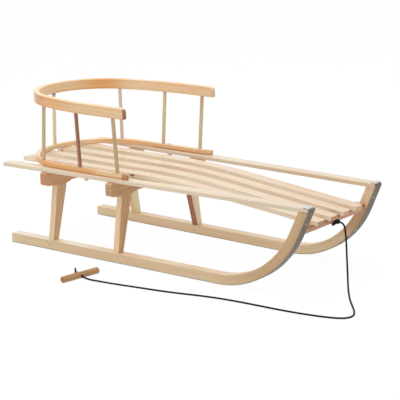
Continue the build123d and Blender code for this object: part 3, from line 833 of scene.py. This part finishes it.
UPPER_HOOP_TONES = [
    # Painted light on the top faces
    (TOP_FACES, (1.06, 1.18, 1.30)),
    (stretch("grain", 0.09, 0.19, 0.05), (0.94, 0.72, 0.46)),
    (stretch("grain", 0.21, 0.55, 0.04), (1.03, 1.06, 1.14)),
    (stretch("grain", 0.21, 0.30, 0.04), (1.02, 1.06, 1.10)),
    (stretch("grain", -0.30, -0.15, 0.05), (0.97, 0.78, 0.55)),
    # More painted light on the top faces along the right flank
    (both(TOP_FACES, stretch("grain", -0.30, -0.15, 0.05)), (1.03, 1.32, 1.50)),
    # Painted shade on the faces that look back and to the right there
    (both(facing((-0.8, -0.6, 0)), stretch("grain", -0.20, -0.08, 0.03)), (0.86, 0.75, 0.65)),
    (both(UPPER_ARM_ENDS, RIGHT_HALF), (0.49, 0.31, 0.32)),
    (both(UPPER_ARM_ENDS, LEFT_HALF), (1.06, 1.36, 1.62)),
]

# Tints of whole spindles, then painted light on the second's rear right side and a dark band on top of
# the fourth
SPINDLE_TINTS = [
    (0.83, 0.87, 0.78),
    (0.70, 0.60, 0.46),
    (0.91, 0.98, 0.99),
    (1.18, 1.43, 1.68),
    (1.09, 1.37, 1.74),
    (1.03, 1.21, 1.26),
    (0.89, 0.99, 1.00),
]
SPINDLE_SIDE_LIGHT_AND_DARK_BAND = {
    1: (facing((-0.79, -0.62, 0), -0.1, 0.5), (1.60, 1.75, 1.75)),
    3: (stretch("z", 0.3535, 0.37, 0.001), (0.34, 0.31, 0.33)),
}


def with_extra_tone(tones, stains, number):
    """The tones of one of several like pieces, with its own extra tone if it has one."""
    return [*tones, stains[number]] if number in stains else tones


def dress_wood():
    """Every wooden part, each with its own board."""
    for number in range(4):
        pith = (0.0, 0.05 - 0.03 * number, -0.034 - 0.011 * number)
        tones = [*SLAT_TONES, (SLAT_FRONT, SLAT_FRONT_SHADE_TINTS[number])]
        tones = with_extra_tone(tones, SLAT_PAINTED_SHADOWS, number)
        dress_in_wood(f"seat_slat_{number + 1}", SEAT_WOOD, slat_grain(), pith, 3.1 + number, 1.0, tones)
    for name, side in SIDES:
        pith = (0.0, side * 0.16, 0.052)
        tones = RUNNER_TONES[name]
        dress_in_wood(f"runner_{name}", RUNNER_WOOD, runner_grain(), pith, 11.0 + side, 0.9, tones)
        rail = f"side_rail_{name}"
        grain = straight_grain(middle(rail), (1, -side * RAIL_TOE, 0), (0, 1, 0))
        pith = (0.0, 0.012 * side, -0.041)
        dress_in_wood(rail, RAIL_WOOD, grain, pith, 21.0 + side, 0.85, RAIL_TONES[name])
        for beam in BEAMS:
            leg = f"leg_{beam}_{name}"
            grain = straight_grain(middle(leg), (0, -side * LEG_LEAN, 1), (0, 1, 0))
            seed = 31.0 + side + (4.0 if beam == "front" else 0.0)
            pith = (0.0, 0.03, 0.022 * side)
            dress_in_wood(leg, LEG_WOOD, grain, pith, seed, 1.25, LEG_TONES[f"{beam}_{name}"])
    for beam, pith in (("rear", (0.0, 0.009, 0.034)), ("front", (0.0, -0.0025, 0.0045))):
        node = f"cross_beam_{beam}"
        grain = straight_grain(middle(node), (0, 1, 0), (1, 0, 0))
        dress_in_wood(node, BEAM_WOOD, grain, pith, 41.0 + len(beam), 1.1, BEAM_TONES[beam])
    node = "front_crossbar"
    grain = straight_grain(middle(node), (0, 1, 0), (1, 0, 0))
    dress_in_wood(node, BEAM_WOOD, grain, (0.0, 0.03, -0.03), 47.0, 1.0, CROSSBAR_TONES)
    node = "backrest_lower_hoop"
    pith = (0.0, middle(node).z + 0.012, -0.036)
    dress_in_wood(node, LOWER_HOOP_WOOD, lower_hoop_grain(), pith, 51.0, 1.0, LOWER_HOOP_TONES)
    node = "backrest_upper_hoop"
    pith = (0.0, middle(node).z - 0.022, -0.044)
    dress_in_wood(node, UPPER_HOOP_WOOD, upper_hoop_grain(), pith, 57.0, 1.0, UPPER_HOOP_TONES)
    for number in range(7):
        node = f"backrest_spindle_{number + 1}"
        wood = DARK_SPINDLE_WOOD if number == 1 else SPINDLE_WOOD
        grain = straight_grain(middle(node), rod_axis(node), (1, 0, 0))
        pith = (0.0, 0.021, 0.017 - 0.006 * number)
        tones = with_extra_tone([(everywhere, SPINDLE_TINTS[number])], SPINDLE_SIDE_LIGHT_AND_DARK_BAND, number)
        dress_in_wood(node, wood, grain, pith, 61.0 + number, 1.2, tones)
    grain = straight_grain(HANDLE_CENTRE, HANDLE_AXIS, (0, 0, 1))
    dress_in_wood("pull_handle", HANDLE_WOOD, grain, (0.0, 0.017, 0.011), 71.0, 1.2)


def steel_strip_material():
    """Rolled steel with a brown-grey mottle and long scratches; a painted highlight brightens its edges
    and the up-facing cap at the tips, and the sole is rubbed bright.
    """
    material, shade, shader = new_material("steel_strip")
    coordinates = shade.node("ShaderNodeTexCoord").outputs
    vector = runner_grain()(shade, coordinates["Object"], coordinates["Normal"])[0]
    scratches = shade.noise(shade.vector("MULTIPLY", vector, (22.0, 2600.0, 90.0)), 3.0, 0.6)
    mottle = shade.noise(shade.vector("MULTIPLY", vector, (160.0, 210.0, 210.0)), 4.0, 0.65)
    patches = shade.noise(shade.vector("MULTIPLY", vector, (28.0, 60.0, 60.0)), 2.0, 0.5)
    dull = shade.mix(shade.step(mottle, 0.3, 0.7), colour(108, 97, 85), colour(140, 125, 109))
    dull = shade.mix(shade.step(patches, 0.4, 0.7, 0.0, 0.5), dull, colour(100, 92, 84))
    rubbed_and_highlight = shade.mix(shade.step(scratches, 0.35, 0.75), colour(198, 198, 198), colour(240, 241, 243))
    edges = shade.group(EDGES)
    normal_z = shade.split(coordinates["Normal"])[2]
    # Up-facing faces and edges are brightened as a painted highlight; faces that look straight down are
    # brightened as rubbed steel
    cap = shade.step(normal_z, 0.5, 0.9)
    sole = shade.step(normal_z, -0.985, -0.9, 0.55, 0.0)
    bright = shade.math("MAXIMUM", shade.math("MAXIMUM", cap, sole), edges["Mask"])
    shade.feed(shader["Base Color"], shade.mix(bright, dull, rubbed_and_highlight))
    shader["Metallic"].default_value = 1.0
    rough = shade.math("MULTIPLY_ADD", mottle, 0.22, 0.30)
    shade.feed(shader["Roughness"], shade.math("MULTIPLY_ADD", scratches, 0.10, rough))
    height = shade.math("ADD", scratches, mottle)
    shade.feed(shader["Normal"], shade.bump(0.35, 0.00008, height, edges["Normal"]))
    return material


def fastener_material():
    """Zinc-plated steel, faintly clouded, with a painted highlight that brightens its edges."""
    material, shade, shader = new_material("fastener_steel")
    place = shade.node("ShaderNodeTexCoord").outputs["Object"]
    cloud = shade.noise(shade.vector("MULTIPLY", place, (340.0, 340.0, 340.0)), 3.0, 0.6)
    fine = shade.noise(shade.vector("MULTIPLY", place, (3200.0, 3200.0, 900.0)), 2.0, 0.6)
    plating = shade.mix(shade.step(cloud, 0.3, 0.7), colour(176, 168, 156), colour(210, 203, 192))
    edges = shade.group(EDGES)
    # Brighter along the edges: a painted highlight
    shade.feed(shader["Base Color"], shade.mix(edges["Mask"], plating, colour(226, 221, 212)))
    shader["Metallic"].default_value = 1.0
    shade.feed(shader["Roughness"], shade.math("MULTIPLY_ADD", cloud, 0.2, 0.24))
    shade.feed(shader["Normal"], shade.bump(0.3, 0.00005, fine, edges["Normal"]))
    return material


def nail_material():
    """Driven nail heads, dulled by the varnish over them."""
    material, shade, shader = new_material("nail_heads")
    place = shade.node("ShaderNodeTexCoord").outputs["Object"]
    cloud = shade.noise(shade.vector("MULTIPLY", place, (700.0, 700.0, 700.0)), 3.0, 0.6)
    steel = shade.mix(shade.step(cloud, 0.3, 0.7), colour(158, 134, 110), colour(198, 174, 148))
    shade.feed(shader["Base Color"], steel)
    shader["Metallic"].default_value = 0.5
    shade.feed(shader["Roughness"], shade.math("MULTIPLY_ADD", cloud, 0.25, 0.32))
    return material


def rope_material():
    """Black braided cord: the yarns of each strand show as fine lines, a little browner on top."""
    material, shade, shader = new_material("rope")
    across = shade.node("ShaderNodeUVMap", uv_map="UVMap").outputs[0]
    along, turn, _ = shade.split(across)
    wind = shade.times(along, 2 / BRAID_PITCH)
    strand = shade.times(turn, float(BRAID_STRANDS))
    ways = [shade.math(operation, strand, wind) for operation in ("ADD", "SUBTRACT")]
    crown = shade.math("MAXIMUM", *[shade.math("COSINE", shade.times(way, 2 * pi)) for way in ways])
    yarn_place = shade.join(*[shade.times(way, YARNS_PER_STRAND) for way in ways], 0.0)
    yarn = shade.noise(yarn_place, 2.0, 0.6)
    lightened = shade.step(shade.math("MULTIPLY_ADD", yarn, 0.8, crown), 0.6, 1.5)
    shade.feed(shader["Base Color"], shade.mix(lightened, colour(8, 6, 5), colour(24, 20, 18)))
    shade.feed(shader["Roughness"], shade.math("MULTIPLY_ADD", yarn, 0.2, 0.68))
    shader["Specular IOR Level"].default_value = 0.25
    shader["Sheen Weight"].default_value = 0.05
    shader["Sheen Roughness"].default_value = 0.5
    shade.feed(shader["Normal"], shade.bump(0.6, 0.00015, yarn))
    return material


# Knots, as routes of the same cord

BAR_KNOT_SIZE = 0.0048
BAR_TAIL_ASIDE = 0.005
HANDLE_KNOT_SIZE = 0.0043
HANDLE_KNOT_BEHIND = 0.0052


def overhand_knot(centre, forward, up, size):
    """Control points of a tight overhand knot, in at the back and out to the front."""
    side = up.cross(forward)
    shares = [
        (-1.0, 0.10, 0.00),
        (-0.70, 0.15, 0.55),
        (0.05, 0.35, 0.85),
        (0.75, 0.75, 0.35),
        (0.70, 0.70, -0.60),
        (-0.05, 0.10, -0.90),
        (-0.80, -0.55, -0.45),
        (-0.75, -0.80, 0.45),
        (0.05, -0.45, 0.80),
        (0.60, 0.00, 0.30),
        (0.30, 0.35, -0.30),
        (-0.20, 0.95, -0.10),
    ]
    return [centre + (forward * a + side * b + up * c) * size for a, b, c in shares]


def make_rope():
    """The pull rope with its knots, in place of the imported ones."""
    cord_finish = rope_material()
    path = spline_points("rope_route", ROPE_ROUTE, 24)
    rope = braided_tube("braided_pull_rope", path)
    bar_knot = make_bar_knot()
    handle_knot = make_handle_knot()
    for piece in (rope, bar_knot, handle_knot):
        piece.data.materials.append(cord_finish)
        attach(piece, "root")
    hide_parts("pull_rope")
    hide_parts("rope_knot_bar")
    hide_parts("rope_knot_handle")


def make_bar_knot():
    """A turn of the rope round the crossbar, knotted in front of it, with a short tail to the right."""
    slope_forward = Vector((cos(SLAT_SLOPE), 0, -sin(SLAT_SLOPE)))
    slope_up = Vector((sin(SLAT_SLOPE), 0, cos(SLAT_SLOPE)))
    bar_middle = middle("front_crossbar")
    reach = BAR_HALF_WIDTH + ROPE_DIAMETER / 2
    rise = BAR_HALF_HEIGHT + ROPE_DIAMETER / 2
    centre = Vector(BAR_KNOT_CENTRE)
    sideways = Vector((0, 1, 0))
    turn_shares = [
        (0.95, 0.35, 0.0020),
        (0.90, 1.00, 0.0018),
        (0.10, 1.04, 0.0010),
        (-0.90, 1.00, 0.0000),
        (-1.02, 0.00, -0.0006),
        (-0.90, -1.00, -0.0012),
        (0.10, -1.04, -0.0018),
        (0.90, -1.00, -0.0022),
        (1.00, -0.35, -0.0026),
    ]
    route = []
    for forward_share, up_share, shift in turn_shares:
        place = bar_middle + slope_forward * reach * forward_share + slope_up * rise * up_share
        route.append(place + sideways * shift)
    route += overhand_knot(centre, slope_forward, slope_up, BAR_KNOT_SIZE)
    tail = centre - sideways * BAR_TAIL_ASIDE
    route += [
        tail + Vector((0.003, -0.004, -0.0005)),
        tail + Vector((0.003, -0.008, -0.0015)),
        tail + Vector((0.001, -0.012, -0.0030)),
        tail + Vector((-0.001, -0.016, -0.0045)),
    ]
    return braided_tube("knot_on_crossbar", spline_points("bar_knot_route", route, 16))


def make_handle_knot():
    """The knot that holds the handle on, with its tail standing up."""
    up = Vector((0, 0, 1))
    centre = HANDLE_CENTRE + BORE_AXIS * (HANDLE_DIAMETER / 2 + HANDLE_KNOT_BEHIND)
    route = [BORE_END]
    route += overhand_knot(centre, BORE_AXIS, up, HANDLE_KNOT_SIZE)
    route += [
        centre + BORE_AXIS * 0.003 + up * 0.004,
        centre + BORE_AXIS * 0.004 + up * 0.009,
        centre + BORE_AXIS * 0.004 + up * 0.014,
    ]
    return braided_tube("knot_behind_handle", spline_points("handle_knot_route", route, 16))


# Nails and screws

NAIL_DIAMETER = 0.0038
NAIL_PROUD = 0.00012
RAIL_NAIL_INSET = 0.015
CROSSBAR_NAIL_AHEAD = 0.001
SCREW_DIAMETER = 0.0065
SCREW_PROUD = 0.00015
TIP_SCREW_INSET = 0.0125
TIP_SCREW_BACK = 0.019
HORN_SCREW_ASIDE = 0.002
HORN_SCREW_HEIGHTS = (0.172, 0.086)

# Head shapes: the rim's drop in metres, and the cross recess as shares of the head
HEAD_RIM_DROP = 0.0003
CROSS_REACH = 0.52
CROSS_HALF_WIDTH = 0.13
CROSS_DEPTH = 0.16

# Where the lines start that look for a part's surface, and the way down
PROBE_ABOVE = 0.02
PROBE_OUTSIDE = 0.25
PROBE_AHEAD = 0.1
DOWN = (0, 0, -1)

# Nails across a runner into a leg's foot: how far ahead of the beam's middle, and how high
FOOT_NAILS = {("right", "front"): ((0.0102, 0.0155), (0.0275, 0.0184))}
FOOT_NAILS_ELSEWHERE = ((-0.006, 0.0125), (0.007, 0.0145))

# Where the line starts that finds the nail inside the left runner
LEFT_INSIDE_NAIL = (-0.1004, 0.0, 0.0083)


def seat_on(node, start, direction):
    """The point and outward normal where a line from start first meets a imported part."""
    struck, place, normal, _ = NODES[node].ray_cast(Vector(start), Vector(direction))
    if not struck:
        raise ValueError(f"nothing of {node} lies that way from {tuple(start)}")
    return place, normal


def head_mesh(name, seats, diameter, proud, recess_share):
    """Round heads set flush in what carries them, with a cross recess where the share isn't zero."""
    rings = 10
    sides = 32
    vertices = []
    faces = []
    for place, normal in seats:
        across = normal.orthogonal().normalized()
        other = normal.cross(across)
        first = len(vertices)
        for ring in range(rings + 1):
            share = ring / rings
            for step in range(sides if ring else 1):
                angle = 2 * pi * step / sides
                x = share * cos(angle)
                y = share * sin(angle)
                height = proud * (1 - share**4) - HEAD_RIM_DROP * (share == 1)
                near, far = sorted((abs(x), abs(y)))
                if near < CROSS_HALF_WIDTH and far < recess_share:
                    height -= diameter * CROSS_DEPTH * (1 - share * 0.6)
                point = place + (across * x + other * y) * diameter / 2 + normal * height
                vertices.append(tuple(point))
        for step in range(sides):
            after = (step + 1) % sides
            faces.append((first, first + 1 + step, first + 1 + after))
            for ring in range(1, rings):
                inner = first + 1 + (ring - 1) * sides
                outer = inner + sides
                faces.append((inner + step, outer + step, outer + after, inner + after))
    piece = add_object(name, smooth_mesh(name, vertices, faces))
    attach(piece, "root")
    return piece


def slat_middle(number, x):
    """Y of a slat's middle line at a place along the sled."""
    low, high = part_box(f"seat_slat_{number + 1}")
    share = (x - low.x) / (high.x - low.x)
    place = number - 1.5
    return place * (SLAT_PITCH_REAR + (SLAT_PITCH_FRONT - SLAT_PITCH_REAR) * share)


def make_nails():
    """Nails down into the beams and crossbar, across the legs' feet, and one inside the left runner."""
    above = SEAT_TOP + PROBE_ABOVE
    beam_places = {beam: middle(f"cross_beam_{beam}").x for beam in BEAMS}
    seats = []
    for number in range(4):
        for x in (*beam_places.values(), middle("front_crossbar").x + CROSSBAR_NAIL_AHEAD):
            seats.append(seat_on(f"seat_slat_{number + 1}", (x, slat_middle(number, x), above), DOWN))
    for name, side in SIDES:
        low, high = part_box(f"side_rail_{name}")
        for beam, x in beam_places.items():
            y = side * (max(abs(low.y), abs(high.y)) - RAIL_TOE * (x - low.x) - RAIL_NAIL_INSET)
            seats.append(seat_on(f"side_rail_{name}", (x, y, above), DOWN))
            for reach, height in FOOT_NAILS.get((name, beam), FOOT_NAILS_ELSEWHERE):
                outside = (x + reach, side * PROBE_OUTSIDE, height)
                seats.append(seat_on(f"runner_{name}", outside, (0, -side, 0)))
    seats.append(seat_on("runner_left", LEFT_INSIDE_NAIL, (0, 1, 0)))
    nails = head_mesh("nails", seats, NAIL_DIAMETER, NAIL_PROUD, 0.0)
    nails.data.materials.append(nail_material())


def make_screws():
    """Countersunk screws that hold the steel strips to the runners and the tips."""
    seats = []
    for name, side in SIDES:
        strip = f"runner_strip_{name}"
        low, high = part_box(strip)
        tip_y = side * (min(abs(low.y), abs(high.y)) + TIP_SCREW_INSET)
        seats.append(seat_on(strip, (TIP.x - TIP_SCREW_BACK, tip_y, TIP.z + PROBE_ABOVE), DOWN))
        for height in HORN_SCREW_HEIGHTS:
            start = (TIP.x + PROBE_AHEAD, tip_y + side * HORN_SCREW_ASIDE, height)
            seats.append(seat_on(strip, start, (-1, 0, 0)))
    return head_mesh("strip_screws", seats, SCREW_DIAMETER, SCREW_PROUD, CROSS_REACH)


# Floor, light and background

FLOOR_SIZE = 30.0
FLOOR_GREY = 0.86
SHADOW_SHARE = 0.09
GLOW_STRENGTH = 1.03
FILL_STRENGTH = 0.72
SOFTBOX_PLACE = Vector((-0.4, -0.4, 2.6))
SOFTBOX_AIM = Vector((0.0, 0.0, 0.15))
SOFTBOX_SIZE = 2.2
SOFTBOX_WATTS = 26.0


def make_floor():
    """A white floor that keeps only a soft share of the shadows for the camera."""
    mesh = bpy.data.meshes.new("floor")
    half = FLOOR_SIZE / 2
    corners = [(-half, -half, 0), (half, -half, 0), (half, half, 0), (-half, half, 0)]
    mesh.from_pydata(corners, [], [(0, 1, 2, 3)])
    floor = add_object("floor", mesh)
    material = bpy.data.materials.new("floor")
    material.use_nodes = True
    shade = Shade(material.node_tree)
    material.node_tree.nodes.clear()
    diffuse = shade.node("ShaderNodeBsdfDiffuse")
    diffuse.inputs["Color"].default_value = (FLOOR_GREY, FLOOR_GREY, FLOOR_GREY, 1)
    glow = shade.node("ShaderNodeEmission")
    glow.inputs["Color"].default_value = (1, 1, 1, 1)
    glow.inputs["Strength"].default_value = GLOW_STRENGTH
    mixed = shade.node("ShaderNodeMixShader")
    shade.feed(mixed.inputs[0], shade.times(shade.looked_at(), 1 - SHADOW_SHARE))
    shade.feed(mixed.inputs[1], diffuse.outputs[0])
    shade.feed(mixed.inputs[2], glow.outputs[0])
    output = shade.node("ShaderNodeOutputMaterial")
    shade.feed(output.inputs["Surface"], mixed.outputs[0])
    mesh.materials.append(material)


def make_world():
    """Even white light all round, with a plain white background for what is looked at."""
    world = bpy.data.worlds.new("studio")
    bpy.context.scene.world = world
    world.use_nodes = True
    shade = Shade(world.node_tree)
    background = world.node_tree.nodes["Background"].inputs
    background["Color"].default_value = (1, 1, 1, 1)
    strength = shade.math("MULTIPLY_ADD", shade.looked_at(), 1 - FILL_STRENGTH, FILL_STRENGTH)
    shade.feed(background["Strength"], strength)


def make_softbox():
    """A large square lamp overhead, a little to the sled's right and rear."""
    data = bpy.data.lights.new("overhead_softbox", "AREA")
    data.shape = "SQUARE"
    data.size = SOFTBOX_SIZE
    data.energy = SOFTBOX_WATTS
    lamp = add_object("overhead_softbox", data)
    lamp.location = SOFTBOX_PLACE
    lamp.rotation_mode = "QUATERNION"
    lamp.rotation_quaternion = (SOFTBOX_AIM - SOFTBOX_PLACE).to_track_quat("-Z", "Y")


set_camera()
make_rope()
dress_wood()
strip_finish = steel_strip_material()
fastener_finish = fastener_material()
for side_name, _ in SIDES:
    dress(f"runner_strip_{side_name}", strip_finish)
    dress(f"backrest_bolt_{side_name}", fastener_finish)
    dress(f"backrest_nut_{side_name}", fastener_finish)
make_nails()
make_screws().data.materials.append(fastener_finish)
make_floor()
make_world()
make_softbox()
bpy.context.scene.view_settings.view_transform = "Standard"
